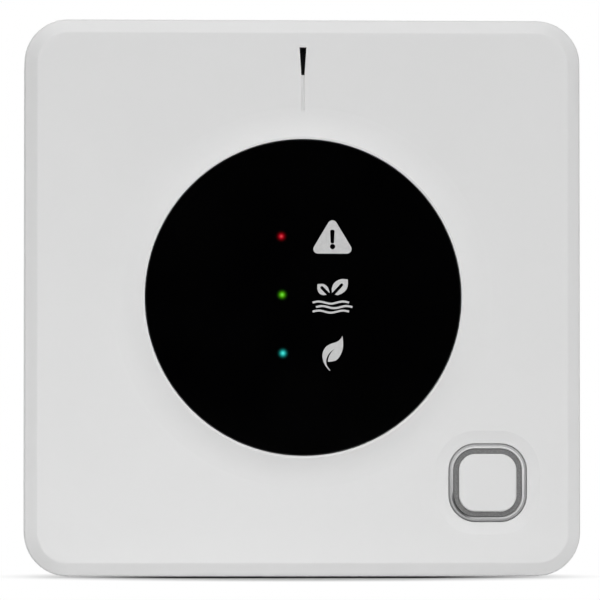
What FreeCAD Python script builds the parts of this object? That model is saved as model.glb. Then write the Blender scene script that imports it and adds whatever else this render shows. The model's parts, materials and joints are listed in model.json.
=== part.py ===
import FreeCAD, Part
import math
import os
import re
import Sketcher
from FreeCAD import Placement, Rotation, Vector

# Room air quality sensor for surface mounting over a 60 mm wall box.
# A base plate with the supply terminals stays on the wall. The square front with its round window,
# three signal lights and push button pulls straight off it, bringing the sensor board along.
# Every piece is drawn with x to the right, y up and z out of the wall, and is then stood upright.

SIZES = {
    # Outside of the front
    "face_width": 84.0,
    "face_corner": 6.6,
    "face_height": 20.0,
    "bevel_width": 2.0,
    "bevel_drop": 1.3,
    "bevel_round": 0.6,
    "wall_edge": 0.25,
    "wall_shadow": 0.6,
    "shell_wall": 2.0,
    "front_wall": 2.0,
    "overlap": 0.2,
    "snug_fit": 0.02,
    # Round window and the mound it sits in
    "recess_radius": 23.9,
    "crest_land": 0.35,
    "mound_run": 4.8,
    "mound_rise": 0.95,
    "lens_drop": 0.15,
    "lens_thick": 1.45,
    "lens_gap": 0.1,
    "lens_edge": 0.12,
    "tape_thick": 0.15,
    "tape_inset": 0.8,
    "tape_long": 8.0,
    "tape_wide": 3.4,
    # Tapered slot above the window and the groove that joins them
    "slot_inset": 4.2,
    "slot_long": 4.2,
    "slot_wide": 1.04,
    "slot_narrow": 0.52,
    "slot_draft": 1.0,
    "groove_wide": 0.45,
    "groove_deep": 0.2,
    # Push button and the dish round it
    "button_inset": 14.1,
    "cap_width": 8.7,
    "cap_corner": 2.5,
    "cap_edge": 0.15,
    "cap_wall": 1.2,
    "cap_skin": 1.4,
    "cap_drop": 0.05,
    "ring_wide": 0.75,
    "ring_drop": 0.4,
    "flange_wide": 0.6,
    "flange_thick": 0.5,
    "bezel_wide": 0.64,
    "bezel_edge": 0.18,
    "bezel_drop": 0.15,
    "button_fit": 0.09,
    "seat_fit": 0.03,
    "dish_run": 2.0,
    "dish_deep": 0.33,
    "dish_sag": 0.046,
    "travel": 0.35,
    "catch_wide": 1.0,
    "catch_thick": 0.6,
    # Air vents in the top and bottom walls, and the notch for a screwdriver
    "vent_count": 11.0,
    "vent_pitch": 4.0,
    "vent_wide": 2.0,
    "vent_low": 6.8,
    "vent_high": 11.8,
    "mesh_thick": 0.4,
    "mesh_margin": 0.8,
    "notch_wide": 9.0,
    "notch_high": 1.6,
    # Base plate
    "shell_fit": 0.3,
    "plate_thick": 2.2,
    "rim_thick": 1.4,
    "rim_height": 5.5,
    "screw_spacing": 60.0,
    "screw_slot_long": 8.0,
    "screw_slot_radius": 2.1,
    "head_deep": 0.8,
    "head_margin": 2.1,
    "cable_wide": 26.0,
    "cable_high": 17.0,
    "cable_gap": 2.8,
    "collar_thick": 1.2,
    "collar_height": 3.6,
    "rib_count": 4.0,
    "rib_pitch": 5.0,
    "rib_first": 19.0,
    "rib_gap": 3.0,
    # Square pegs that hold the front on the base by friction
    "peg_inset": 4.1,
    "peg_up": 14.0,
    "peg_wide": 3.0,
    "peg_fit": 0.05,
    "peg_low": 4.0,
    "post_wide": 6.0,
    "post_height": 9.0,
    "shoulder_wide": 5.6,
    # Boards and their screws
    "board_thick": 1.6,
    "board_gap": 3.0,
    "board_room": 2.5,
    "notch_room": 0.4,
    "terminal_board_low": 4.2,
    "terminal_board_wide": 50.0,
    "terminal_board_high": 23.0,
    "terminal_inset": 21.0,
    "boss_wide": 4.8,
    "screw_inset": 4.0,
    "low_screw_gap": 10.4,
    "terminal_screw_inset": 2.8,
    "screw_hole": 1.2,
    "screw_shank": 0.95,
    "screw_head": 1.9,
    "screw_head_thick": 1.2,
    "screw_bite": 2.9,
    "drive_wide": 0.5,
    "drive_deep": 0.6,
    # Terminal block
    "pole_count": 3.0,
    "pole_pitch": 3.5,
    "block_deep": 8.0,
    "block_room": 0.6,
    "block_wall": 1.25,
    "entry_wide": 2.5,
    "entry_deep": 6.6,
    "clamp_fit": 0.05,
    "clamp_wall": 0.35,
    "clamp_long": 5.4,
    "clamp_screw": 1.0,
    "clamp_set": 0.7,
    # Plug between the two boards
    "pin_count": 6.0,
    "pin_pitch": 2.54,
    "pin_wide": 0.64,
    "pin_fit": 0.08,
    "pin_tail": 0.7,
    "pin_point": 0.18,
    "plug_wide": 2.5,
    "plug_rise": 6.5,
    # Signal lights
    "light_across": 3.05,
    "light_pitch": 8.8,
    "light_centre": 0.25,
    "light_wide": 1.6,
    "light_high": 0.8,
    "light_thick": 0.7,
    "guide_radius": 1.1,
    "guide_fit": 0.1,
    "guide_web": 0.8,
    "web_margin": 2.2,
    "shroud_margin": 4.0,
    "shroud_wall": 1.2,
    "shroud_room": 0.5,
    # Push switch under the button
    "switch_width": 4.5,
    "switch_thick": 1.1,
    "switch_floor": 0.15,
    "leg_reach": 0.8,
    "leg_thick": 0.2,
    "leg_gap": 2.6,
    "stem_radius": 1.1,
    "stem_rise": 0.5,
    "stem_fit": 0.05,
    "plunger_radius": 1.4,
    # Gas sensor and the foam wall that keeps its air apart
    "gas_width": 10.1,
    "gas_thick": 6.5,
    "gas_carrier": 0.6,
    "gas_across": 12.0,
    "gas_up": 15.0,
    "carrier_edge": 0.3,
    "inlet_width": 6.0,
    "inlet_deep": 0.5,
    "film_thick": 0.4,
    "foam_thick": 2.0,
    "foam_left": 22.0,
    "foam_gap": 3.5,
    "foam_top": 25.0,
    "foam_fit": 0.4,
    "warmth_gap": 3.0,
    "warmth_wide": 0.8,
    "warmth_long": 5.0,
    # Small parts
    "hole_wide": 0.8,
    "hole_deep": 0.4,
    "tab_pitch": 1.5,
    "tab_wide": 0.8,
    "tab_reach": 0.85,
    "tab_thick": 0.35,
    "can_radius": 3.15,
    "can_edge": 0.4,
    "can_room": 1.8,
    "coil_edge": 0.4,
}

# Block-shaped components: wide, high, thick, across, up.
# On the sensor board up counts from the face's lower edge, on the terminal board from the board's middle.
SENSOR_CHIPS = {
    "voc_sensor": (2.5, 2.5, 0.9, -1.0, 14.0),
    "humidity_sensor": (2.0, 2.0, 0.8, 6.6, 7.6),
    "microcontroller": (7.0, 7.0, 1.0, -24.0, 39.0),
    "crystal": (3.2, 2.5, 0.7, -24.0, 47.0),
    "voltage_regulator": (4.5, 2.5, 1.5, 24.0, 39.0),
}
TERMINAL_CHIPS = {
    "supply_capacitor": (6.6, 6.6, 0.8, 15.8, 1.5),
    "supply_inductor": (6.0, 6.0, 3.0, -16.0, 2.0),
    "supply_fuse": (6.1, 2.6, 2.6, -16.0, -5.8),
    "bridge_rectifier": (4.7, 3.8, 2.4, 16.5, -5.8),
}
for label, numbers in {**SENSOR_CHIPS, **TERMINAL_CHIPS}.items():
    for direction, number in zip(("wide", "high", "thick", "across", "up"), numbers):
        SIZES[f"{label}_{direction}"] = number

doc = FreeCAD.newDocument("air_quality_sensor")
sheet = doc.addObject("Spreadsheet::Sheet", "size")
for row, (name, number) in enumerate(SIZES.items(), 1):
    sheet.set(f"A{row}", name)
    sheet.set(f"B{row}", str(number))
    sheet.setAlias(f"B{row}", name)
doc.recompute()

# Sizes that follow from others, written once as formulas
FACE_EDGE = "(face_width / 2)"
CAVITY = "(face_width - 2 * shell_wall)"
CAVITY_CORNER = "(face_corner - shell_wall)"
CAVITY_TOP = "(face_height - front_wall)"
CREST = "(face_height + mound_rise)"
CREST_EDGE = "(recess_radius + crest_land)"
MOUND = "(recess_radius + mound_run)"
LENS_TOP = f"({CREST} - lens_drop)"
LENS_LOW = f"({LENS_TOP} - lens_thick)"
RECESS_FLOOR = f"({LENS_LOW} - tape_thick)"
SLOT_HIGH = f"({FACE_EDGE} - slot_inset)"
SLOT_LOW = f"({SLOT_HIGH} - slot_long)"

PLATE = f"({CAVITY} - 2 * shell_fit)"
PLATE_CORNER = f"({CAVITY_CORNER} - shell_fit)"
RIM_EDGE = f"({PLATE} / 2 - rim_thick)"
PEG_ACROSS = f"({PLATE} / 2 - peg_inset)"

BUTTON = f"({FACE_EDGE} - button_inset)"
CAP_TOP = "(face_height - cap_drop)"
RING = "(cap_width + 2 * ring_wide)"
RING_CORNER = "(cap_corner + ring_wide)"
WELL = f"({RING} + 2 * button_fit)"
WELL_CORNER = f"({RING_CORNER} + button_fit)"
BEZEL = f"({WELL} + 2 * bezel_wide)"
BEZEL_CORNER = f"({WELL_CORNER} + bezel_wide)"
APERTURE = f"({BEZEL} + 2 * lens_gap)"
APERTURE_CORNER = f"({BEZEL_CORNER} + lens_gap)"
BEZEL_LOW = f"({CAVITY_TOP} - catch_thick)"
FLANGE_TOP = f"({BEZEL_LOW} - lens_gap / 2)"
FLANGE_LOW = f"({FLANGE_TOP} - flange_thick)"
CAP_LOW = f"({FLANGE_LOW} + travel)"

BOARD = f"({CAVITY} - 2 * board_room)"
BOARD_FRONT = f"({CAVITY_TOP} - board_gap)"
BOARD_BACK = f"({BOARD_FRONT} - board_thick)"
BOARD_REST = f"({BOARD} / 2 - screw_inset)"
LOW_SCREW = f"({BUTTON} - low_screw_gap)"
STEM_TOP = f"({BOARD_FRONT} + switch_thick + stem_rise)"
TERMINAL_UP = f"({FACE_EDGE} - terminal_inset)"
TERMINAL_FRONT = "(terminal_board_low + board_thick)"
BETWEEN_BOARDS = f"({BOARD_BACK} - {TERMINAL_FRONT})"
GAS_UP = f"(gas_up - {FACE_EDGE})"
FOAM_RIGHT = f"({LOW_SCREW} - foam_gap)"
FOAM_TOP = f"(foam_top - {FACE_EDGE})"
FOAM_LOW = f"(foam_fit - {RIM_EDGE})"
CABLE_UP = f"({FOAM_TOP} + cable_gap + collar_thick + cable_high / 2)"

BLOCK_HIGH = f"({BETWEEN_BOARDS} - block_room)"
ENTRY_LOW = f"({BLOCK_HIGH} / 9)"
ENTRY_HIGH = f"({BLOCK_HIGH} * 3 / 7)"
ENTRY_MIDDLE = f"({ENTRY_LOW} + {ENTRY_HIGH} / 2)"
CAGE_WIDE = "(entry_wide - 2 * clamp_fit)"
CAGE_HIGH = f"({ENTRY_HIGH} - 2 * clamp_fit)"
CLAMP_TOP = f"({BLOCK_HIGH} * 5 / 6)"

PLUG_UP = f"({TERMINAL_UP} + plug_rise)"
PLUG_LONG = "(pin_count * pin_pitch)"
SOCKET_TOP = f"({BOARD_BACK} - plug_wide - shell_fit)"
PIN_LOW = f"({TERMINAL_FRONT} + ({SOCKET_TOP} - {TERMINAL_FRONT}) / 4)"
SHROUD_WIDE = "(2 * shroud_margin)"
SHROUD_HIGH = "(2 * light_pitch + 2 * shroud_margin)"
SHROUD_TOP = f"({RECESS_FLOOR} - lens_gap)"
SHROUD_LOW = f"({SHROUD_TOP} - shroud_wall)"
GUIDE_LOW = f"({BOARD_FRONT} + light_thick + guide_fit)"

# Places that repeat, as pairs of formulas
SIDES = (-1, 1)
CORNERS = [(x, y) for x in SIDES for y in SIDES]
PEGS = [(f"{x} * {PEG_ACROSS}", f"{y} * peg_up") for x, y in CORNERS]
BOARD_RESTS = [
    (f"-{BOARD_REST}", BOARD_REST),
    (BOARD_REST, BOARD_REST),
    (f"-{BOARD_REST}", f"-{BOARD_REST}"),
    (LOW_SCREW, f"-{BOARD_REST}"),
]
BOARD_SCREWS = [BOARD_RESTS[0], BOARD_RESTS[3]]
TERMINAL_CORNERS = [(f"{x} * (terminal_board_wide / 2 - terminal_screw_inset)",
                     f"{y} * (terminal_board_high / 2 - terminal_screw_inset)") for x, y in CORNERS]
TERMINAL_SCREWS = [TERMINAL_CORNERS[0], TERMINAL_CORNERS[3]]
POLES = [f"({i} - (pole_count - 1) / 2) * pole_pitch" for i in range(int(SIZES["pole_count"]))]
PINS = [f"({i} - (pin_count - 1) / 2) * pin_pitch" for i in range(int(SIZES["pin_count"]))]
LIGHTS = {
    "led_red": "light_centre + light_pitch",
    "led_green": "light_centre",
    "led_blue": "light_centre - light_pitch",
}

# Formulas over the sheet


def formula(text):
    """The formula with each size name pointed at the sheet."""
    def point(word):
        return "size." + word.group() if word.group() in SIZES else word.group()
    return re.sub(r"[a-z][a-z_]*", point, text)


def value(text):
    """The formula's number for the sizes in the sheet."""
    return float(sheet.evalExpression(formula(text)))


# Outlines for sketches: each call gives a function that draws on the sketch it is handed


def hold(sketch, curve, end, across, up):
    """Tie one point of a curve to two formulas measured from the sketch's origin."""
    for kind, text in (("DistanceX", across), ("DistanceY", up)):
        index = sketch.addConstraint(Sketcher.Constraint(kind, -1, 1, curve, end, value(text)))
        sketch.setExpression(f"Constraints[{index}]", formula(text))


def hold_radius(sketch, curve, text):
    """Tie a circle's or an arc's radius to a formula."""
    index = sketch.addConstraint(Sketcher.Constraint("Radius", curve, value(text)))
    sketch.setExpression(f"Constraints[{index}]", formula(text))


def chain(sketch, curves):
    """Join each curve's end to the next one's start, and the last to the first."""
    for here, following in zip(curves, curves[1:] + curves[:1]):
        sketch.addConstraint(Sketcher.Constraint("Coincident", here, 2, following, 1))


def circle(radius, across="0", up="0"):
    """A full circle about a centre."""
    def draw(sketch):
        centre = Vector(value(across), value(up), 0)
        curve = sketch.addGeometry(Part.Circle(centre, Vector(0, 0, 1), value(radius)))
        hold(sketch, curve, 3, across, up)
        hold_radius(sketch, curve, radius)
    return draw


def polygon(*corners):
    """Straight sides through corners given as pairs of formulas."""
    def draw(sketch):
        points = [Vector(value(across), value(up), 0) for across, up in corners]
        ends = points[1:] + points[:1]
        sides = [sketch.addGeometry(Part.LineSegment(a, b)) for a, b in zip(points, ends)]
        chain(sketch, sides)
        for side, (across, up) in zip(sides, corners):
            hold(sketch, side, 1, across, up)
    return draw


def between(left, right, low, high):
    """A rectangle given by its four sides."""
    return polygon((left, low), (right, low), (right, high), (left, high))


def rectangle(width, height, across="0", up="0"):
    """A rectangle about a centre."""
    return between(f"{across} - {width} / 2", f"{across} + {width} / 2",
                   f"{up} - {height} / 2", f"{up} + {height} / 2")


def arcs_and_sides(sketch, radius, centres):
    """Corner arcs about the centres, anticlockwise, with tangent sides between them."""
    turn = 360 / len(centres)
    arcs = []
    for number, (across, up) in enumerate(centres):
        ring = Part.Circle(Vector(value(across), value(up), 0), Vector(0, 0, 1), value(radius))
        start = math.radians(number * turn - 90)
        arcs.append(sketch.addGeometry(Part.ArcOfCircle(ring, start, start + math.radians(turn))))
    for arc, following in zip(arcs, arcs[1:] + arcs[:1]):
        leave = sketch.Geometry[arc].EndPoint
        arrive = sketch.Geometry[following].StartPoint
        side = sketch.addGeometry(Part.LineSegment(leave, arrive))
        sketch.addConstraint(Sketcher.Constraint("Tangent", arc, 2, side, 1))
        sketch.addConstraint(Sketcher.Constraint("Tangent", side, 2, following, 1))
    for arc, (across, up) in zip(arcs, centres):
        hold(sketch, arc, 3, across, up)
    hold_radius(sketch, arcs[0], radius)
    for arc in arcs[1:]:
        sketch.addConstraint(Sketcher.Constraint("Equal", arcs[0], arc))


def rounded(width, height, radius, across="0", up="0"):
    """A rectangle with round corners about a centre."""
    def draw(sketch):
        half = f"({width} / 2 - {radius})"
        tall = f"({height} / 2 - {radius})"
        signs = ((1, -1), (1, 1), (-1, 1), (-1, -1))
        centres = [(f"{across} + {x} * {half}", f"{up} + {y} * {tall}") for x, y in signs]
        arcs_and_sides(sketch, radius, centres)
    return draw


def stadium(length, radius, across="0", up="0"):
    """A slot with half-round ends, lying across."""
    def draw(sketch):
        half = f"({length} / 2 - {radius})"
        arcs_and_sides(sketch, radius, [(f"{across} + {half}", up), (f"{across} - {half}", up)])
    return draw


# Features of a body


def new_body(label):
    """An empty body whose label names its file."""
    body = doc.addObject("PartDesign::Body", label)
    body.Label = label
    return body


def sketch_on(body, name, role, offset, outlines):
    """A sketch on one of the body's own planes, moved along the plane's normal."""
    sketch = body.newObject("Sketcher::SketchObject", name)
    plane = next(item for item in body.Origin.OriginFeatures if item.Role == role)
    sketch.AttachmentSupport = [(plane, "")]
    sketch.MapMode = "FlatFace"
    sketch.setExpression("AttachmentOffset.Base.z", formula(offset))
    for outline in outlines:
        outline(sketch)
    return sketch


def pad(body, name, low, high, *outlines, plane="XY_Plane"):
    """Material inside the outlines between two distances from the plane."""
    feature_sketch = sketch_on(body, name + "_outline", plane, low, outlines)
    feature = body.newObject("PartDesign::Pad", name)
    feature.Profile = feature_sketch
    feature.setExpression("Length", formula(f"({high}) - ({low})"))
    return feature


def pocket(body, name, low, high, *outlines, plane="XY_Plane"):
    """The space inside the outlines, cut from the far distance back to the near one."""
    feature_sketch = sketch_on(body, name + "_outline", plane, high, outlines)
    feature = body.newObject("PartDesign::Pocket", name)
    feature.Profile = feature_sketch
    feature.setExpression("Length", formula(f"({high}) - ({low})"))
    return feature


def repeat(body, name, feature, axis, length, count, backwards=False):
    """Equal copies of a feature along its sketch's axis, the first and last a length apart."""
    pattern = body.newObject("PartDesign::LinearPattern", name)
    pattern.Originals = [feature]
    pattern.Direction = (feature.Profile[0], [axis])
    pattern.Reversed = backwards
    pattern.Mode = "Extent"
    pattern.setExpression("Length", formula(length))
    pattern.Occurrences = int(SIZES[count])
    body.Tip = pattern


def dress(body, kind, name, feature, size, height):
    """A fillet or chamfer on the feature's edges that lie flat at a height."""
    doc.recompute()
    wanted = value(height)

    def lies_there(edge):
        middle = (edge.FirstParameter + edge.LastParameter) / 2
        places = [edge.valueAt(t).z for t in (edge.FirstParameter, middle, edge.LastParameter)]
        return all(abs(place - wanted) < 0.001 for place in places)

    names = [f"Edge{i}" for i, edge in enumerate(feature.Shape.Edges, 1) if lies_there(edge)]
    dressing = body.newObject(f"PartDesign::{kind}", name)
    dressing.Base = (feature, names)
    dressing.setExpression("Radius" if kind == "Fillet" else "Size", formula(size))
    return dressing


def stand(body, across="0", up="0", out="0", faces_back=False):
    """Stand the piece upright at its place; out is its distance from the wall."""
    quarter = -90 if faces_back else 90
    body.Placement = Placement(Vector(), Rotation(Vector(1, 0, 0), quarter))
    body.setExpression("Placement.Base.x", formula(across))
    body.setExpression("Placement.Base.y", formula(f"-({out})"))
    body.setExpression("Placement.Base.z", formula(up))


# Front cover: bevelled square shell with the mound, the recess, the slot and the button's dish
cover = new_body("front_cover")
bevel_low = "face_height - bevel_drop"
square = rounded("face_width", "face_width", "face_corner")
pad(cover, "skirt", "wall_shadow", bevel_low, square)
bevel = pad(cover, "bevel", bevel_low, "face_height", square)
bevel.setExpression("TaperAngle", formula("-atan(bevel_width / bevel_drop)"))
edged = dress(cover, "Chamfer", "wall_edge", bevel, "wall_edge", bevel_low)
dress(cover, "Fillet", "bevel_edge", edged, "bevel_round", "face_height")


def mound_section(sketch):
    """Half section of the mound: a hollow slope from the flat face up to the crest."""
    run = f"({MOUND} - {CREST_EDGE})"
    bend = f"(({run} * {run} + mound_rise * mound_rise) / (2 * mound_rise))"
    root = "face_height - front_wall / 2"
    foot = Vector(value(MOUND), value("face_height"), 0)
    top = Vector(value(CREST_EDGE), value(CREST), 0)
    ring = Part.Circle(Vector(foot.x, foot.y + value(bend), 0), Vector(0, 0, 1), value(bend))
    slope = sketch.addGeometry(Part.ArcOfCircle(ring, ring.parameter(top), ring.parameter(foot)))
    corners = [foot, Vector(foot.x, value(root), 0), Vector(0, value(root), 0), Vector(0, top.y, 0), top]
    sides = [sketch.addGeometry(Part.LineSegment(a, b)) for a, b in zip(corners, corners[1:])]
    chain(sketch, [slope] + sides)
    hold_radius(sketch, slope, bend)
    hold(sketch, slope, 2, MOUND, "face_height")
    hold(sketch, slope, 1, CREST_EDGE, CREST)
    hold(sketch, sides[1], 1, MOUND, root)
    hold(sketch, sides[2], 1, "0", root)
    hold(sketch, sides[3], 1, "0", CREST)


mound = cover.newObject("PartDesign::Revolution", "mound")
mound.Profile = sketch_on(cover, "mound_section", "XZ_Plane", "0", [mound_section])
mound.ReferenceAxis = (mound.Profile[0], ["V_Axis"])
mound.Angle = 360
pocket(cover, "window_recess", RECESS_FLOOR, CREST, circle("recess_radius"))
pocket(cover, "cavity", "0", CAVITY_TOP, rounded(CAVITY, CAVITY, CAVITY_CORNER))
pocket(cover, "light_opening", CAVITY_TOP, RECESS_FLOOR,
       rectangle(f"({SHROUD_WIDE} + 2 * shroud_room)", f"({SHROUD_HIGH} + 2 * shroud_room)",
                 "-light_across", "light_centre"))

slot = pocket(cover, "slot", f"{CAVITY_TOP} - overlap", "face_height", polygon(
    ("-slot_narrow / 2", SLOT_LOW), ("slot_narrow / 2", SLOT_LOW),
    ("slot_wide / 2", SLOT_HIGH), ("-slot_wide / 2", SLOT_HIGH)))
slot.setExpression("TaperAngle", formula("slot_draft * 1 deg"))
pocket(cover, "groove", "face_height - groove_deep", "face_height + groove_deep",
       between("-groove_wide / 2", "groove_wide / 2", f"{MOUND} - groove_wide", SLOT_LOW))

# The dish rises as a hollow curve from the button's opening to the flat face
aperture = rounded(APERTURE, APERTURE, APERTURE_CORNER, BUTTON, f"-{BUTTON}")


def dish_section(sketch):
    """Section of the dish at the right of the button, closed above the face."""
    near = f"({BUTTON} + {APERTURE} / 2)"
    far = f"({BUTTON} + {BEZEL} / 2 + dish_run)"
    lid = "face_height + dish_deep"
    low = Vector(value(near), value("face_height - dish_deep"), 0)
    high = Vector(value(far), value("face_height"), 0)
    bottom = Vector((low.x + high.x) / 2, (low.y + high.y) / 2 - value("dish_sag"), 0)
    slope = sketch.addGeometry(Part.Arc(low, bottom, high))
    corners = [high, Vector(high.x, value(lid), 0), Vector(low.x, value(lid), 0), low]
    sides = [sketch.addGeometry(Part.LineSegment(a, b)) for a, b in zip(corners, corners[1:])]
    chain(sketch, [slope] + sides)
    hold(sketch, slope, 1, near, "face_height - dish_deep")
    hold(sketch, slope, 2, far, "face_height")
    hold(sketch, sides[1], 1, far, lid)
    hold(sketch, sides[2], 1, near, lid)
    hold_radius(sketch, slope, f"(({far} - {near}) ^ 2 + dish_deep ^ 2) / (8 * dish_sag)")


dish = cover.newObject("PartDesign::SubtractivePipe", "dish")
dish.Profile = sketch_on(cover, "dish_section", "XZ_Plane", BUTTON, [dish_section])
dish.Spine = (sketch_on(cover, "dish_path", "XY_Plane", "face_height", [aperture]),
              [f"Edge{i}" for i in range(1, 9)])
pocket(cover, "button_opening", CAVITY_TOP, "face_height + dish_deep", aperture)

# Vents through the top and bottom walls, and the notch for a screwdriver at the bottom edge
vent = pocket(cover, "vent", "-face_width", "face_width", rectangle(
    "vent_wide", "(vent_high - vent_low)", "-(vent_count - 1) / 2 * vent_pitch",
    "(vent_high + vent_low) / 2"), plane="XZ_Plane")
repeat(cover, "vents", vent, "H_Axis", "(vent_count - 1) * vent_pitch", "vent_count")
pocket(cover, "pry_notch", f"{CAVITY} / 2", "face_width", between(
    "-notch_wide / 2", "notch_wide / 2", "0", "wall_shadow + notch_high"), plane="XZ_Plane")

# Pegs with their square shoulders, and the bosses for the sensor board
shoulder_low = "post_height + shell_fit"
pad(cover, "shoulders", shoulder_low, f"{CAVITY_TOP} + overlap",
    *[rectangle("shoulder_wide", "shoulder_wide", x, y) for x, y in PEGS])
pad(cover, "pegs", "peg_low", f"{shoulder_low} + overlap",
    *[rectangle("peg_wide", "peg_wide", x, y) for x, y in PEGS])
pad(cover, "board_bosses", BOARD_FRONT, f"{CAVITY_TOP} + overlap",
    *[rectangle("boss_wide", "boss_wide", x, y) for x, y in BOARD_RESTS])
pocket(cover, "board_pilots", BOARD_FRONT, f"{BOARD_FRONT} + board_gap + front_wall / 3",
       *[circle("screw_shank", x, y) for x, y in BOARD_SCREWS])
stand(cover)

# Window: black lens on four pieces of tape
lens = new_body("window_lens")
lens_disc = pad(lens, "disc", LENS_LOW, LENS_TOP, circle("recess_radius - lens_gap"))
dress(lens, "Chamfer", "edge", lens_disc, "lens_edge", LENS_TOP)
stand(lens)

tape = new_body("window_tape")
tape_middle = "(recess_radius - tape_inset - tape_wide / 2)"
pad(tape, "pieces", RECESS_FLOOR, LENS_LOW,
    *[rectangle("tape_long", "tape_wide", "0", f"{k} * {tape_middle}") for k in SIDES],
    *[rectangle("tape_wide", "tape_long", f"{k} * {tape_middle}") for k in SIDES])
stand(tape)

# Lights: black box on the sensor board, a moulded comb of light guides and three lamps
shroud = new_body("light_shroud")
pad(shroud, "box", "0", f"{SHROUD_TOP} - {BOARD_FRONT}", rectangle(SHROUD_WIDE, SHROUD_HIGH))
pocket(shroud, "chamber", "0", f"{SHROUD_LOW} - {BOARD_FRONT}",
       rectangle(f"({SHROUD_WIDE} - 2 * shroud_wall)", f"({SHROUD_HIGH} - 2 * shroud_wall)"))
pocket(shroud, "guide_holes", f"{SHROUD_LOW} - {BOARD_FRONT}", f"{SHROUD_TOP} - {BOARD_FRONT}",
       *[circle("guide_radius + guide_fit", "0", y) for y in ("-light_pitch", "0", "light_pitch")])
stand(shroud, "-light_across", "light_centre", BOARD_FRONT)

guides = new_body("light_guides")
pad(guides, "web", GUIDE_LOW, f"{GUIDE_LOW} + guide_web",
    rectangle("(2 * web_margin)", "(2 * light_pitch + 2 * web_margin)", "-light_across", "light_centre"))
pad(guides, "rods", f"{GUIDE_LOW} + guide_web / 2", f"{LENS_LOW} - lens_gap / 2",
    *[circle("guide_radius", "-light_across", y) for y in LIGHTS.values()])
stand(guides)

for label, y in LIGHTS.items():
    lamp = new_body(label)
    pad(lamp, "chip", "0", "light_thick * 0.6", rectangle("light_wide", "light_high"))
    pad(lamp, "dome", "light_thick * 0.6", "light_thick", rectangle("light_wide * 0.7", "light_high"))
    stand(lamp, "-light_across", y, BOARD_FRONT)

# Sensor board: notches for the pegs, slots that keep the board's warmth from the climate sensor
board = new_body("sensor_board")
pad(board, "laminate", BOARD_BACK, BOARD_FRONT, rectangle(BOARD, BOARD))
notch_inner = f"({PEG_ACROSS} - shoulder_wide / 2 - notch_room)"
notch_long = "(shoulder_wide + 2 * notch_room)"
for side, edges in (("right", (notch_inner, BOARD)), ("left", (f"-{BOARD}", f"-{notch_inner}"))):
    pocket(board, f"{side}_notches", BOARD_BACK, BOARD_FRONT,
           *[between(*edges, f"{k} * peg_up - {notch_long} / 2", f"{k} * peg_up + {notch_long} / 2")
             for k in SIDES])
pocket(board, "screw_holes", BOARD_BACK, BOARD_FRONT, *[circle("screw_hole", x, y) for x, y in BOARD_SCREWS])
pin_hole = "(pin_wide + 2 * guide_fit)"
pocket(board, "pin_holes", BOARD_BACK, BOARD_FRONT,
       *[rectangle(pin_hole, pin_hole, x, PLUG_UP) for x in PINS])
climate_up = f"(humidity_sensor_up - {FACE_EDGE})"
pocket(board, "warmth_slots", BOARD_BACK, BOARD_FRONT,
       *[rectangle("warmth_wide", "warmth_long", f"humidity_sensor_across + {k} * warmth_gap", climate_up)
         for k in SIDES],
       rectangle("(2 * (warmth_gap - warmth_wide))", "warmth_wide", "humidity_sensor_across",
                 f"{climate_up} + warmth_gap"))
stand(board)


def screws(label, places, shank_long, up, out, faces_back):
    """Slotted screws; their heads lie on a board and the shanks run away from it."""
    body = new_body(label)
    pad(body, "heads", "0", "screw_head_thick", *[circle("screw_head", x, y) for x, y in places])
    pad(body, "shanks", f"-({shank_long})", "overlap", *[circle("screw_shank", x, y) for x, y in places])
    pocket(body, "slots", "screw_head_thick - drive_deep", "screw_head_thick",
           *[rectangle("(2 * screw_head)", "drive_wide", x, y) for x, y in places])
    stand(body, "0", up, out, faces_back)


behind = [(across, f"-({up})") for across, up in BOARD_SCREWS]
screws("board_screws", behind, "board_thick + screw_bite", "0", BOARD_BACK, True)

# Button: fixed bezel, then the ring and the cap that move together
button_place = (BUTTON, f"-{BUTTON}", "0")
bezel = new_body("button_bezel")
bezel_top = "face_height - bezel_drop"
pad(bezel, "frame", BEZEL_LOW, bezel_top, rounded(BEZEL, BEZEL, BEZEL_CORNER))
catch = f"({BEZEL} + 2 * catch_wide)"
pad(bezel, "catch", BEZEL_LOW, CAVITY_TOP, rectangle(catch, catch))
well = pocket(bezel, "well", BEZEL_LOW, bezel_top, rounded(WELL, WELL, WELL_CORNER))
dress(bezel, "Chamfer", "top_edges", well, "bezel_edge", bezel_top)
stand(bezel, *button_place)

ring = new_body("button_ring")
ring_top = "face_height - ring_drop"
flange = f"({RING} + 2 * flange_wide)"
pad(ring, "sleeve", FLANGE_LOW, ring_top, rounded(RING, RING, RING_CORNER))
pad(ring, "flange", FLANGE_LOW, FLANGE_TOP, rectangle(flange, flange))
seat = "(cap_width + 2 * seat_fit)"
pocket(ring, "cap_seat", FLANGE_LOW, ring_top, rounded(seat, seat, "(cap_corner + seat_fit)"))
stand(ring, *button_place)

cap = new_body("button_cap")
cap_block = pad(cap, "block", CAP_LOW, CAP_TOP, rounded("cap_width", "cap_width", "cap_corner"))
dress(cap, "Chamfer", "edge", cap_block, "cap_edge", CAP_TOP)
hollow = "(cap_width - 2 * cap_wall)"
pocket(cap, "hollow", CAP_LOW, f"{CAP_TOP} - cap_skin", rectangle(hollow, hollow))
pad(cap, "plunger", STEM_TOP, f"{CAP_TOP} - cap_skin + overlap", circle("plunger_radius"))
stand(cap, *button_place)

switch = new_body("switch_body")
pad(switch, "case", "0", "switch_thick", rectangle("switch_width", "switch_width"))
pad(switch, "legs", "0", "leg_thick",
    *[rectangle("(switch_width + 2 * leg_reach)", "leg_reach", "0", f"{k} * leg_gap / 2") for k in SIDES])
pocket(switch, "stem_hole", "switch_floor", "switch_thick", circle("stem_radius + stem_fit"))
stand(switch, BUTTON, f"-{BUTTON}", BOARD_FRONT)

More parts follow.
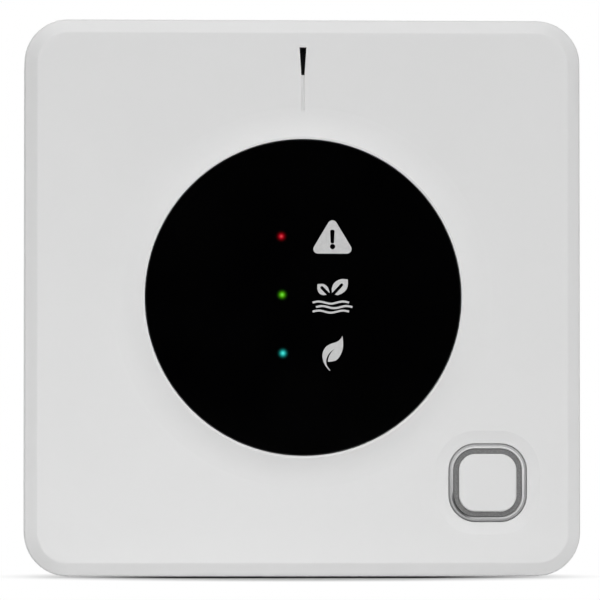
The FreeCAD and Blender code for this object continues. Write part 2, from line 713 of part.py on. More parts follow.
stem = new_body("switch_stem")
pad(stem, "rod", "switch_floor + travel + stem_fit", "switch_thick + stem_rise", circle("stem_radius"))
stand(stem, BUTTON, f"-{BUTTON}", BOARD_FRONT)

# Plug: square pins in a strip on the sensor board, socket on the terminal board
strip = new_body("pin_strip")
pin_seat = "(pin_wide + 2 * snug_fit)"
pad(strip, "block", "0", "plug_wide", rectangle(PLUG_LONG, "plug_wide"))
pocket(strip, "pin_seats", "0", "plug_wide", *[rectangle(pin_seat, pin_seat, x) for x in PINS])
stand(strip, "0", PLUG_UP, BOARD_BACK, faces_back=True)

pins = new_body("pins")
pin_rods = pad(pins, "rods", PIN_LOW, f"{BOARD_FRONT} + pin_tail",
               *[rectangle("pin_wide", "pin_wide", x) for x in PINS])
dress(pins, "Chamfer", "tips", pin_rods, "pin_point", PIN_LOW)
stand(pins, "0", PLUG_UP)

socket = new_body("pin_socket")
pin_way = "(pin_wide + 2 * pin_fit)"
pad(socket, "block", TERMINAL_FRONT, SOCKET_TOP, rectangle(f"({PLUG_LONG} + shell_fit)", "plug_wide"))
pocket(socket, "pin_ways", f"{PIN_LOW} - shell_fit", SOCKET_TOP,
       *[rectangle(pin_way, pin_way, x) for x in PINS])
stand(socket, "0", PLUG_UP)

# Gas sensor with the porous film in its inlet, on the wall side of the sensor board
gas = new_body("gas_sensor")
inlet_floor = "gas_thick - inlet_deep"
case_wide = "(gas_width - 2 * carrier_edge)"
pad(gas, "carrier", "0", "gas_carrier", rectangle("gas_width", "gas_width"))
pad(gas, "case", "gas_carrier", "gas_thick", rectangle(case_wide, case_wide))
pocket(gas, "inlet", inlet_floor, "gas_thick", rectangle("inlet_width", "inlet_width"))
stand(gas, "-gas_across", GAS_UP, BOARD_BACK, faces_back=True)

film = new_body("gas_membrane")
film_wide = "(inlet_width - 2 * snug_fit)"
pad(film, "sheet", inlet_floor, f"{inlet_floor} + film_thick", rectangle(film_wide, film_wide))
stand(film, "-gas_across", GAS_UP, BOARD_BACK, faces_back=True)

# Foam wall round the gas sensor, open at the bottom towards the vents
foam = new_body("sensor_foam")
inner_left = "foam_thick - foam_left"
inner_right = f"{FOAM_RIGHT} - foam_thick"
inner_top = f"{FOAM_TOP} - foam_thick"
pad(foam, "partition", "plate_thick + shell_fit", BOARD_BACK, polygon(
    ("-foam_left", FOAM_LOW), (inner_left, FOAM_LOW), (inner_left, inner_top), (inner_right, inner_top),
    (inner_right, FOAM_LOW), (FOAM_RIGHT, FOAM_LOW), (FOAM_RIGHT, FOAM_TOP), ("-foam_left", FOAM_TOP)))
stand(foam)

# Dust meshes behind the vents
for label, side in (("top_mesh", 1), ("bottom_mesh", -1)):
    mesh = new_body(label)
    pad(mesh, "sheet", "vent_low - mesh_margin", "vent_high + mesh_margin",
        rectangle("(vent_count * vent_pitch)", "mesh_thick", "0", f"{side} * ({CAVITY} - mesh_thick) / 2"))
    stand(mesh)

# Base plate: rim, posts for the pegs, cable opening, screw slots, ribs and bosses
base = new_body("base_plate")
pad(base, "floor", "0", "plate_thick", rounded(PLATE, PLATE, PLATE_CORNER))
rim_inner = f"(2 * {RIM_EDGE})"
pad(base, "rim", "0", "rim_height", rounded(PLATE, PLATE, PLATE_CORNER),
    rounded(rim_inner, rim_inner, f"({PLATE_CORNER} - rim_thick)"))
pad(base, "posts", "0", "post_height", *[rectangle("post_wide", "post_wide", x, y) for x, y in PEGS])
peg_way = "(peg_wide + 2 * peg_fit)"
pocket(base, "peg_ways", "peg_low - 2 * shell_fit", "post_height",
       *[rectangle(peg_way, peg_way, x, y) for x, y in PEGS])
collar_wide = "(cable_wide + 2 * collar_thick)"
collar_high = "(cable_high + 2 * collar_thick)"
pad(base, "collar", "0", "collar_height",
    rectangle(collar_wide, collar_high, "0", CABLE_UP))
pocket(base, "cable_opening", "0", "collar_height", rectangle("cable_wide", "cable_high", "0", CABLE_UP))
on_base = f"{TERMINAL_UP} + "
pad(base, "terminal_bosses", "0", "terminal_board_low",
    *[rectangle("boss_wide", "boss_wide", x, on_base + y) for x, y in TERMINAL_CORNERS])
pocket(base, "terminal_pilots", "plate_thick / 3", "terminal_board_low",
       *[circle("screw_shank", x, on_base + y) for x, y in TERMINAL_SCREWS])
wall_screws = [f"{side} * screw_spacing / 2" for side in SIDES]
pocket(base, "head_seats", "plate_thick - head_deep", "plate_thick",
       *[stadium("(screw_slot_long + 2 * head_margin)", "(screw_slot_radius + head_margin)", x)
         for x in wall_screws])
pocket(base, "screw_slots", "0", "plate_thick",
       *[stadium("screw_slot_long", "screw_slot_radius", x) for x in wall_screws])
rib_edges = ("-rib_first - collar_thick / 2", "-rib_first + collar_thick / 2")
rib = pad(base, "rib", "0", "collar_height",
          between(f"-{RIM_EDGE} - overlap", "-foam_left - rib_gap", *rib_edges),
          between(f"{FOAM_RIGHT} + rib_gap", f"{RIM_EDGE} + overlap", *rib_edges))
repeat(base, "ribs", rib, "V_Axis", "(rib_count - 1) * rib_pitch", "rib_count", backwards=True)
stand(base)

# Terminal board and its two screws
low_board = new_body("terminal_board")
pad(low_board, "laminate", "0", "board_thick", rectangle("terminal_board_wide", "terminal_board_high"))
pocket(low_board, "screw_holes", "0", "board_thick",
       *[circle("screw_hole", x, y) for x, y in TERMINAL_SCREWS])
stand(low_board, "0", TERMINAL_UP, "terminal_board_low")
screws("terminal_board_screws", TERMINAL_SCREWS, "board_thick + terminal_board_low - plate_thick / 2",
       TERMINAL_UP, TERMINAL_FRONT, False)

# Terminal block: one chamber per pole, open downwards for the wire and to the front for the screw
block_place = ("0", f"{TERMINAL_UP} - (terminal_board_high - block_deep) / 2 + block_room", TERMINAL_FRONT)
block = new_body("terminal_block")
pad(block, "body", "0", BLOCK_HIGH, rectangle("(pole_count * pole_pitch + 2 * block_wall)", "block_deep"))
pocket(block, "entries", "block_deep / 2 - entry_deep", "block_deep / 2",
       *[rectangle("entry_wide", ENTRY_HIGH, x, ENTRY_MIDDLE) for x in POLES], plane="XZ_Plane")
pocket(block, "screw_wells", ENTRY_MIDDLE, BLOCK_HIGH,
       *[circle("clamp_screw + 2 * clamp_fit", x, "-clamp_set") for x in POLES])
stand(block, *block_place)

clamps = new_body("terminal_clamps")
cage_ends = ("clamp_set - clamp_long / 2", "clamp_set + clamp_long / 2")
pad(clamps, "cages", *cage_ends, *[rectangle(CAGE_WIDE, CAGE_HIGH, x, ENTRY_MIDDLE) for x in POLES],
    plane="XZ_Plane")
pocket(clamps, "wire_ways", *cage_ends,
       *[rectangle(f"({CAGE_WIDE} - 2 * clamp_wall)", f"({CAGE_HIGH} - 2 * clamp_wall)", x, ENTRY_MIDDLE)
         for x in POLES], plane="XZ_Plane")
pocket(clamps, "threads", ENTRY_MIDDLE, f"{ENTRY_LOW} + {ENTRY_HIGH}",
       *[circle("clamp_screw + clamp_fit", x, "-clamp_set") for x in POLES])
stand(clamps, *block_place)

clamp_screws = new_body("terminal_screws")
pad(clamp_screws, "studs", f"{ENTRY_MIDDLE} + clamp_wall", CLAMP_TOP,
    *[circle("clamp_screw", x, "-clamp_set") for x in POLES])
pocket(clamp_screws, "slots", f"{CLAMP_TOP} - drive_deep", CLAMP_TOP,
       *[rectangle("(2 * clamp_screw + overlap)", "drive_wide", x, "-clamp_set") for x in POLES])
stand(clamp_screws, *block_place)


def chip(label, up, out, faces_back):
    """A block component with its listed size, standing at its place on a board."""
    body = new_body(label)
    package = pad(body, "package", "0", f"{label}_thick", rectangle(f"{label}_wide", f"{label}_high"))
    stand(body, f"{label}_across", f"{up} + {label}_up", out, faces_back)
    return body, package


# Components on the wall side of the sensor board
chips = {label: chip(label, f"-{FACE_EDGE}", BOARD_BACK, True)[0] for label in SENSOR_CHIPS}
for label in ("voc_sensor", "humidity_sensor"):
    pocket(chips[label], "inlet", f"{label}_thick - hole_deep", f"{label}_thick",
           rectangle("hole_wide", "hole_wide"))
pad(chips["voltage_regulator"], "tabs", "0", "tab_thick",
    *[rectangle("tab_wide", "(voltage_regulator_high + 2 * tab_reach)", f"{k} * tab_pitch")
      for k in (-1, 0, 1)])

# Supply components on the terminal board
supply = {label: chip(label, TERMINAL_UP, TERMINAL_FRONT, False) for label in TERMINAL_CHIPS}
capacitor = supply["supply_capacitor"][0]
can_top = f"{BETWEEN_BOARDS} - can_room"
can = pad(capacitor, "can", "supply_capacitor_thick", can_top, circle("can_radius"))
dress(capacitor, "Chamfer", "can_edge", can, "can_edge", can_top)
coil, coil_block = supply["supply_inductor"]
dress(coil, "Chamfer", "edge", coil_block, "coil_edge", "supply_inductor_thick")

# Check every object, then write one file per piece
doc.recompute()
bad = [f"{item.Label}: {item.State}" for item in doc.Objects if {"Invalid", "Error"} & set(item.State)]
bodies = [item for item in doc.Objects if item.TypeId == "PartDesign::Body"]
bad += [body.Label for body in bodies if body.Shape.isNull() or not body.Shape.isValid()]
if bad:
    raise RuntimeError("; ".join(bad))
os.makedirs("parts", exist_ok=True)
for body in bodies:
    body.Shape.exportStep(f"parts/{body.Label}.step")
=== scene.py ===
import json
import math

import bpy
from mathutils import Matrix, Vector


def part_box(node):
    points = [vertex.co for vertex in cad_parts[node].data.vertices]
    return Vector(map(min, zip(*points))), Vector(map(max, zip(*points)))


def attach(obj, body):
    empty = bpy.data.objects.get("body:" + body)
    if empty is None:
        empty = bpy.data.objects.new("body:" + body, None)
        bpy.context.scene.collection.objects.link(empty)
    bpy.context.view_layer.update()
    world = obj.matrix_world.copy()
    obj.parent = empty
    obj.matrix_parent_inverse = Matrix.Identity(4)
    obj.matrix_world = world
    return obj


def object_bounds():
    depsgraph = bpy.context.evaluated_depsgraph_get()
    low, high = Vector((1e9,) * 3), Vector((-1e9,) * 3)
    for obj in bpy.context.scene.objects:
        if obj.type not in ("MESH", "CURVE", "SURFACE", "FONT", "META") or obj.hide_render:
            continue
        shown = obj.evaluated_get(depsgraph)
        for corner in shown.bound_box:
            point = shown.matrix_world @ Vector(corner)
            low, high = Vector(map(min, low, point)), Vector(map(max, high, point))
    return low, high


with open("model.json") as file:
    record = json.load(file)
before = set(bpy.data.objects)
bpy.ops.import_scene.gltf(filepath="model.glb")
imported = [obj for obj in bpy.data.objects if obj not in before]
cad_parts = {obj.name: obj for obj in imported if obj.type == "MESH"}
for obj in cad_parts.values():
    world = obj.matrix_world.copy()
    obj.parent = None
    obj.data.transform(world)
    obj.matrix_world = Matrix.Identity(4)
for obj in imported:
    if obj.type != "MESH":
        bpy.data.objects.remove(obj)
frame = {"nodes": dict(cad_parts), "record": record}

bl_info = {
    "name": "Room Air Quality Sensor",
    "version": (1, 0, 0),
    "blender": (4, 5, 0),
    "location": "View3D > Sidebar > Sensor",
    "description": "Dresses the wall sensor with its finishes, window signs and board parts",
    "category": "Object",
}

CAD_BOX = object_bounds()
MM = 0.001
WINDOW_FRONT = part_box("window_lens")[0].y
SENSOR_BOARD_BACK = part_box("sensor_board")[1].y
TERMINAL_BOARD_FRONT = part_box("terminal_board")[0].y
FLOOR_LEVEL = CAD_BOX[0].z
# The outer edge of the cover's bevel, which lies 2.25 mm behind the crest of the mound
BEVEL_EDGE = CAD_BOX[0].y + 2.25 * MM


# Sizes and colours that a user would change


def tone(name, description, default):
    return bpy.props.FloatVectorProperty(
        name=name, description=description, default=default, size=3, min=0.0, max=1.0, subtype="COLOR")


def length(name, description, default):
    return bpy.props.FloatProperty(
        name=name, description=description, default=default, min=0.0, unit="LENGTH", precision=5)


def position(name, description, default):
    return bpy.props.FloatProperty(
        name=name, description=description, default=default, unit="LENGTH", precision=5)


def power(name, description, default):
    return bpy.props.FloatProperty(name=name, description=description, default=default, min=0.0, unit="POWER")


class SensorFinishes(bpy.types.PropertyGroup):
    cover: tone("Cover", "Matt white of the pull-off front", (0.8, 0.8, 0.8))
    cap: tone("Button Cap", "Satin white of the button", (0.8, 0.8, 0.8))
    ring: tone("Button Ring", "Grained dark grey round the cap", (0.17, 0.17, 0.17))
    bezel: tone("Bezel", "Light satin grey of the button's frame", (0.45, 0.45, 0.455))
    base: tone("Base Plate", "Off-white of the base plate", (0.74, 0.74, 0.72))
    board: tone("Board", "Solder mask of the circuit boards", (0.009, 0.011, 0.010))
    grain: length("Grain", "Size of the cover's moulded grain", 0.00022)


class SensorWindow(bpy.types.PropertyGroup):
    sign: tone("Signs", "Light grey print of the window signs", (0.54, 0.54, 0.54))
    print_thick: length("Print Thickness", "How far the print stands on the window", 0.00003)
    lamp_across: length("Lamp Distance", "Lowest lamp's distance left of the middle", 0.00308)
    lamp_lean: length("Lamp Lean", "How far each glow stands left of the one below", 0.00012)
    lamp_pitch: length("Lamp Pitch", "Distance between two lamps", 0.0088)
    lamp_centre: length("Middle Lamp Height", "Height of the middle lamp above the window's middle", 0.00039)
    glow: length("Glow", "Distance over which the glow round a lamp fades", 0.00027)
    red: tone("Upper Lamp", "Light of the upper lamp", (0.64, 0.001, 0.015))
    green: tone("Middle Lamp", "Light of the middle lamp", (0.12, 0.67, 0.004))
    blue: tone("Lower Lamp", "Light of the lower lamp", (0.03, 0.76, 0.69))


class SensorBoards(bpy.types.PropertyGroup):
    chip_length: length("Chip Length", "Length of a small resistor or capacitor", 0.0016)
    chip_width: length("Chip Width", "Width of a small resistor or capacitor", 0.0008)
    resistor_height: length("Resistor Height", "Height of a small resistor", 0.0005)
    capacitor_height: length("Capacitor Height", "Height of a small capacitor", 0.0008)
    lead_width: length("Lead Width", "Width of a rectifier lead", 0.0006)
    lead_thick: length("Lead Thickness", "Thickness of a rectifier lead", 0.00022)
    lead_pitch: length("Lead Pitch", "Distance between two leads on one side", 0.00254)


class SensorStage(bpy.types.PropertyGroup):
    distance: length("Camera Distance", "From the camera to the front edge", 0.9)
    camera_low: length("Camera Drop", "How far the camera is below the sensor's middle", 0.028)
    camera_left: length("Camera Shift", "How far the camera is left of the sensor's middle", 0.044)
    floor_gap: length("Floor Gap", "Thin dark gap between the sensor and the floor", 0.0003)
    framed: length("Framed Width", "Width that fills the picture at the front edge", 0.09057)
    aim_across: position("Aim Across", "Where the camera points, sideways", -0.0004)
    aim_up: position("Aim Up", "Where the camera points, upwards", -0.00033)
    overhead: power("Overhead Lamp", "Power of the soft lamp above", 0.6)
    key: power("Upper Left Lamp", "Power of the large soft lamp high in front, a little to the left", 36.5)
    left: power("Left Lamp", "Power of the low lamp left of the camera", 2.4)
    right: power("Right Lamp", "Power of the low lamp right of the camera", 5.5)
    low: power("Low Lamp", "Power of the soft spot aimed at the foot of the sensor", 8.2)
    rear: power("Rear Lamp", "Power of the soft lamp behind, for the views of the back", 16.0)
    ambient: bpy.props.FloatProperty(
        name="Room Light", description="Strength of the light from all round", default=0.06, min=0.0)


# Node building


class Finish:
    """A material whose Principled shader is fed by procedural nodes on Object coordinates."""

    def __init__(self, name):
        self.material = bpy.data.materials.new(name)
        self.material.use_nodes = True
        self.tree = self.material.node_tree
        self.shader = self.tree.nodes["Principled BSDF"]
        self.place = self.add("ShaderNodeTexCoord").outputs["Object"]

    def add(self, kind, settings=None, **inputs):
        """A node with its settings, and inputs given as values or as another node's output."""
        node = self.tree.nodes.new(kind)
        for key, value in (settings or {}).items():
            setattr(node, key, value)
        for key, value in inputs.items():
            self.feed(node.inputs[key.replace("_", " ")], value)
        return node

    def feed(self, socket, value):
        if isinstance(value, bpy.types.NodeSocket):
            self.tree.links.new(value, socket)
        else:
            socket.default_value = value

    def set(self, **inputs):
        for key, value in inputs.items():
            self.feed(self.shader.inputs[key.replace("_", " ")], value)

    def mapped(self, scale=(1, 1, 1), rotation=(0, 0, 0)):
        """Object coordinates scaled apart or turned, for streaks and rows."""
        node = self.add("ShaderNodeMapping", Vector=self.place, Scale=scale, Rotation=rotation)
        return node.outputs["Vector"]

    def axis(self, name):
        return self.add("ShaderNodeSeparateXYZ", Vector=self.place).outputs[name]

    def noise(self, size, detail, where=None):
        node = self.add("ShaderNodeTexNoise", Vector=where or self.place, Scale=1 / size, Detail=detail,
                        Roughness=0.55)
        return node.outputs["Fac"]

    def cells(self, size):
        return self.add("ShaderNodeTexVoronoi", Vector=self.place, Scale=1 / size).outputs["Distance"]

    def number(self, operation, first, second=0.0):
        node = self.add("ShaderNodeMath", {"operation": operation})
        self.feed(node.inputs[0], first)
        self.feed(node.inputs[1], second)
        return node.outputs[0]

    def times(self, first, second):
        return self.number("MULTIPLY", first, second)

    def plus(self, first, second):
        return self.number("ADD", first, second)

    def vector(self, operation, first, second=(0, 0, 0)):
        """The vector that comes out, or the number where the operation gives one."""
        node = self.add("ShaderNodeVectorMath", {"operation": operation})
        self.feed(node.inputs[0], first)
        self.feed(node.inputs[1], second)
        return node.outputs["Value" if operation in ("DISTANCE", "LENGTH", "DOT_PRODUCT") else "Vector"]

    def span(self, value, low, high, new_low=0, new_high=1, smooth=False):
        """The value's range from low to high made to run from new_low to new_high, and held at those ends."""
        node = self.add("ShaderNodeMapRange", {"interpolation_type": "SMOOTHSTEP" if smooth else "LINEAR"},
                        Value=value, From_Min=low, From_Max=high, To_Min=new_low, To_Max=new_high)
        return node.outputs["Result"]

    def drawn_out(self, noise, new_low=0, new_high=1):
        """A noise, which mostly keeps between 0.3 and 0.7, drawn out to the whole new range."""
        return self.span(noise, 0.3, 0.7, new_low, new_high)

    def blend(self, factor, first, second):
        """One colour where the factor is 0, the other where it is 1."""
        node = self.add("ShaderNodeMix", {"data_type": "RGBA"})
        self.feed(node.inputs[0], factor)
        for socket, colour in ((node.inputs[6], first), (node.inputs[7], second)):
            self.feed(socket, colour if isinstance(colour, bpy.types.NodeSocket) else (*colour[:3], 1.0))
        return node.outputs[2]

    def tones(self, factor, colour, low, high):
        """The colour times low where the factor is 0, and times high where it is 1."""
        return self.blend(factor, shaded(colour, low), shaded(colour, high))

    def relief(self, height, depth, soft_edge=0.0):
        """Raise the surface by a height map, over edges that are softly rounded if a radius is given."""
        node = self.add("ShaderNodeBump", Height=height, Strength=1.0, Distance=depth)
        if soft_edge:
            edges = self.add("ShaderNodeBevel", {"samples": 6}, Radius=soft_edge)
            self.feed(node.inputs["Normal"], edges.outputs["Normal"])
        self.set(Normal=node.outputs["Normal"])


def shaded(colour, share):
    return tuple(min(1.0, c * share) for c in colour)


# Finishes, one function for each way a surface is made


def moulded(name, colour, grain, depth, rough, shift):
    """Moulded plastic: slow drift of tone over the part and a fine spark-eroded grain."""
    made = Finish(name)
    drift = made.noise(0.02, detail=3.0)
    grit = made.noise(grain, detail=3.0)
    mixed = made.plus(made.times(drift, 0.7), made.times(grit, 0.3))
    made.set(Base_Color=made.tones(made.drawn_out(mixed), colour, 1 - shift, 1 + shift),
             Roughness=made.drawn_out(grit, *rough))
    made.relief(grit, depth, soft_edge=0.00015)
    return made.material


def cover_moulding(name, colour, grain):
    """Fine matt moulding; the groove below the slot has a hollow bottom."""
    half_groove = 0.000225
    # The heights between which the hollow fades in at the groove's foot and out at its top
    groove_foot, groove_top = (0.0276, 0.0282), (0.0337, 0.0339)
    made = Finish(name)
    drift = made.noise(0.02, detail=3.0)
    grit = made.noise(grain, detail=3.0)
    made.set(Base_Color=made.tones(made.drawn_out(drift), colour, 0.994, 1.006),
             Roughness=made.drawn_out(grit, 0.5, 0.6))
    across = made.span(made.number("ABSOLUTE", made.axis("X")), 0, half_groove, 1, 0)
    above = made.span(made.axis("Z"), *groove_foot)
    below = made.span(made.axis("Z"), *groove_top, 1, 0)
    hollow = made.times(across, made.times(above, below))
    made.relief(made.number("SUBTRACT", made.times(grit, 0.05), hollow), depth=0.00009, soft_edge=0.00007)
    return made.material


def speckled(name, colour):
    """Dark moulding with pale grains, as a glass-filled plastic shows."""
    made = Finish(name)
    grains = made.span(made.noise(0.00019, detail=2.0), 0.44, 0.66)
    made.set(Base_Color=made.tones(grains, colour, 0.86, 1.35), Roughness=made.span(grains, 0, 1, 0.6, 0.42))
    made.relief(grains, depth=0.00001, soft_edge=0.00008)
    return made.material


def satin_metal(name, colour, rough):
    """Metal with fine drawn lines and a little unevenness in its gloss."""
    made = Finish(name)
    lines = made.noise(0.0008, detail=4.0, where=made.mapped((1, 1, 14)))
    clouds = made.noise(0.004, detail=2.0)
    made.set(Base_Color=made.tones(made.span(lines, 0.35, 0.65), colour, 0.93, 1.05),
             Roughness=made.drawn_out(clouds, rough - 0.06, rough + 0.08), Metallic=1.0)
    made.relief(lines, depth=0.000003, soft_edge=0.00006)
    return made.material


def bezel_band(name, colour):
    """Satin paint with painted light: lighter at the upper left, darker at the lower right, painted shade on
    the outer edge and a painted highlight on the inner edge, which gives way to painted shade at the lower
    left.
    """
    cap_corner = 0.0025
    # Distances out from the middles of the cap's corners, over which the painted highlight of the inner edge
    # ends and the painted shade of the outer edge starts
    highlight_ends, outer_shade_starts = (0.00357, 0.00363), (0.00378, 0.00386)
    # Distances from the button's middle towards the lower left, over which the painted shade on the inner
    # edge starts
    lower_left_shade_starts = (0.0050, 0.0057)
    made = Finish(name)
    low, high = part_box("button_cap")
    side = (high.x - low.x) / 2 - cap_corner
    offset = made.vector("SUBTRACT", made.place, tuple((low + high) / 2))
    beyond = made.vector("SUBTRACT", made.vector("ABSOLUTE", offset), (side, 1, side))
    reach = made.vector("LENGTH", made.vector("MAXIMUM", beyond))
    # Band of the inner edge that carries the painted highlight
    inner_highlight_band = made.span(reach, *highlight_ends, 1, 0)
    # Painted shade along the outer edge
    outer = made.span(reach, *outer_shade_starts)
    # Side of the inner edge that the painted highlight turns white towards: the upper right
    turned = made.span(made.vector("DOT_PRODUCT", offset, (0.6, 0, 1)), -0.005, 0.005)
    # Painted shade on the inner edge at the lower left
    lower_left_shade = made.span(made.vector("DOT_PRODUCT", offset, (-0.8, 0, -0.6)), *lower_left_shade_starts)
    # Painted light: the band is lighter towards the upper left and darker towards the lower right
    painted_light_fall = made.span(made.vector("DOT_PRODUCT", offset, (-0.7, 0, 1)), -0.006, 0.006, -0.1, 0.9)
    streaks = made.noise(0.0003, detail=3.0)
    # The band's streaks, with the painted light over them
    satin = made.tones(made.plus(painted_light_fall, made.times(streaks, 0.2)), colour, 0.78, 1.12)
    # Painted highlight colour of the inner edge
    bright = made.blend(turned, shaded(colour, 1.1), (0.97, 0.97, 0.97))
    # The inner edge: painted highlight, with painted shade at the lower left
    inner = made.blend(lower_left_shade, bright, shaded(colour, 0.25))
    made.set(Base_Color=made.blend(inner_highlight_band, made.blend(outer, satin, shaded(colour, 0.72)), inner),
             Roughness=0.38, Metallic=0.1)
    made.relief(streaks, depth=0.000003)
    return made.material


def solder_mask(name, colour):
    """Circuit board: glossy mask over copper tracks, with vias and a woven laminate beneath."""
    made = Finish(name)
    upright = made.mapped(rotation=(math.radians(90), 0, 0))
    blocks = made.add("ShaderNodeTexBrick", {"offset": 0.37, "squash": 1.6}, Vector=upright, Scale=1.0,
                      Mortar_Size=0.00016, Mortar_Smooth=0.2, Brick_Width=0.0052, Row_Height=0.0011)
    gates = made.span(made.noise(0.009, detail=0.0), 0.44, 0.5)
    copper = made.times(blocks.outputs["Fac"], gates)
    vias = made.span(made.cells(0.0034), 0.075, 0.09, 1, 0)
    weave = made.noise(0.0004, detail=1.0)
    made.set(Base_Color=made.blend(vias, made.tones(copper, colour, 1.0, 2.4), (0.42, 0.33, 0.13)),
             Roughness=made.drawn_out(weave, 0.26, 0.4))
    made.relief(made.plus(made.times(copper, 0.8), made.times(weave, 0.2)), depth=0.00003)
    return made.material


def woven(name, colour, pitch):
    """Fine mesh or membrane woven from round threads."""
    made = Finish(name)
    waves = []
    for direction in ("X", "Y", "Z"):
        phase = made.times(made.axis(direction), math.tau / pitch)
        waves.append(made.span(made.number("SINE", phase), -1, 1))
    cloth = made.times(made.plus(waves[0], 0.2), made.plus(waves[1], waves[2]))
    made.set(Base_Color=made.tones(made.span(cloth, 0.1, 1.2), colour, 0.35, 1.3), Roughness=0.8)
    made.relief(cloth, depth=0.00005)
    return made.material


def foamed(name, colour):
    """Open-cell foam with pores of uneven size."""
    made = Finish(name)
    pores = made.span(made.cells(0.0007), 0.1, 0.5)
    made.set(Base_Color=made.tones(pores, colour, 0.3, 1.3), Roughness=0.95)
    made.relief(pores, depth=0.00012)
    return made.material


def black_window(name, look):
    """Polished black window; each lamp behind it is painted on its front as a soft round glow with a paler
    core, which the window gives off itself.
    """
    core_sharpness, core_light = 4.0, 0.05
    made = Finish(name)
    smear = made.noise(0.012, detail=4.0)
    made.set(Base_Color=made.blend(made.drawn_out(smear), (0.0004, 0.0004, 0.0005), (0.0007, 0.0007, 0.0008)),
             Roughness=made.drawn_out(smear, 0.04, 0.07))
    light = (0.0, 0.0, 0.0)
    # Painted glow: each lamp's light is given off by the window round the lamp's place
    for row, colour in enumerate((look.red, look.green, look.blue)):
        across = -look.lamp_across - (2 - row) * look.lamp_lean
        middle = (across, WINDOW_FRONT, look.lamp_centre + (1 - row) * look.lamp_pitch)
        steps = made.number("DIVIDE", made.vector("DISTANCE", made.place, middle), look.glow)
        halo = made.number("EXPONENT", made.times(made.number("POWER", steps, 2.0), -0.5))
        core = made.times(made.number("POWER", halo, core_sharpness), core_light)
        light = made.vector("ADD", light, made.vector("ADD", made.blend(halo, (0, 0, 0), colour), core))
    made.set(Emission_Color=light, Emission_Strength=1.0)
    return made.material


def printed(name, colour):
    """Screen print: a faintly mottled ink that glows a little of itself."""
    made = Finish(name)
    mottle = made.noise(0.00035, detail=3.0)
    ink = made.tones(made.drawn_out(mottle), colour, 0.94, 1.05)
    made.set(Base_Color=ink, Roughness=0.6, Specular_IOR_Level=0.2, Emission_Color=ink,
             Emission_Strength=0.12)
    return made.material


def lit_resin(name, colour):
    """Lit lamp under a diffusing resin."""
    made = Finish(name)
    cloud = made.noise(0.0004, detail=2.0)
    made.set(Base_Color=made.tones(cloud, colour, 1.0, 0.7), Roughness=0.3,
             Emission_Color=made.tones(cloud, colour, 1.0, 0.8), Emission_Strength=2.0)
    return made.material


def clear_plastic(name):
    """Polished light guide with faint flow marks."""
    made = Finish(name)
    flow = made.noise(0.002, detail=3.0)
    made.set(Base_Color=made.blend(flow, (0.8, 0.84, 0.86), (0.9, 0.93, 0.95)),
             Roughness=made.span(flow, 0, 1, 0.04, 0.14), Transmission_Weight=0.8, IOR=1.49)
    return made.material


# For each moulding its colour, the size and depth of its grain, its lowest and highest roughness, and how
# far its tone drifts
MOULDINGS = {
    "black_moulding": ((0.02, 0.02, 0.02), 0.0003, 0.00001, (0.5, 0.65), 0.2),
    "black_tape": ((0.015, 0.015, 0.015), 0.0004, 0.00003, (0.8, 0.9), 0.3),
    "switch_case": ((0.03, 0.03, 0.033), 0.0002, 0.000006, (0.4, 0.5), 0.15),
    "stem_plastic": ((0.55, 0.51, 0.4), 0.0002, 0.000005, (0.4, 0.5), 0.05),
    "black_connector": ((0.018, 0.018, 0.02), 0.0002, 0.000008, (0.35, 0.5), 0.15),
    "sensor_case": ((0.6, 0.6, 0.56), 0.0002, 0.000006, (0.4, 0.55), 0.03),
    "chip_black": ((0.016, 0.016, 0.017), 0.00012, 0.000008, (0.45, 0.6), 0.2),
    "block_plastic": ((0.03, 0.22, 0.09), 0.00025, 0.000008, (0.35, 0.5), 0.06),
    "ferrite": ((0.05, 0.05, 0.052), 0.0002, 0.00002, (0.55, 0.7), 0.2),
    "fuse_body": ((0.72, 0.7, 0.62), 0.0003, 0.000008, (0.35, 0.45), 0.03),
    "resistor_body": ((0.02, 0.02, 0.022), 0.0001, 0.000004, (0.35, 0.5), 0.2),
    "capacitor_body": ((0.4, 0.27, 0.15), 0.0001, 0.000004, (0.4, 0.5), 0.08),
}

# For each metal its colour and its roughness
METALS = {
    "zinc_screw": ((0.62, 0.63, 0.64), 0.3),
    "gold_pins": ((0.83, 0.62, 0.25), 0.22),
    "tin_can": ((0.55, 0.55, 0.56), 0.32),
    "nickel_brass": ((0.66, 0.61, 0.5), 0.3),
    "can_sleeve": ((0.62, 0.63, 0.65), 0.28),
    "solder": ((0.7, 0.7, 0.71), 0.24),
    "lead_tin": ((0.68, 0.68, 0.7), 0.28),
}


def finish_for(slot, look, window):
    """The material of one slot of the record."""
    mouldings = {
        "cap_plastic": (look.cap, 0.00016, 0.000003, (0.34, 0.44), 0.008),
        "base_plastic": (look.base, 0.0003, 0.00001, (0.5, 0.62), 0.02),
        **MOULDINGS,
    }
    if slot in mouldings:
        return moulded(slot, *mouldings[slot])
    if slot in METALS:
        return satin_metal(slot, *METALS[slot])
    return {
        "cover_plastic": lambda: cover_moulding(slot, look.cover, look.grain),
        "window_glass": lambda: black_window(slot, window),
        "lamp_red": lambda: lit_resin(slot, window.red),
        "lamp_green": lambda: lit_resin(slot, window.green),
        "lamp_blue": lambda: lit_resin(slot, window.blue),
        "satin_bezel": lambda: bezel_band(slot, look.bezel),
        "dark_ring": lambda: speckled(slot, look.ring),
        "laminate": lambda: solder_mask(slot, look.board),
        "white_membrane": lambda: woven(slot, (0.72, 0.72, 0.72), pitch=0.00025),
        "dust_mesh": lambda: woven(slot, (0.05, 0.05, 0.05), pitch=0.00045),
        "grey_foam": lambda: foamed(slot, (0.07, 0.07, 0.075)),
        "clear_guide": lambda: clear_plastic(slot),
    }[slot]()


# Mesh helpers


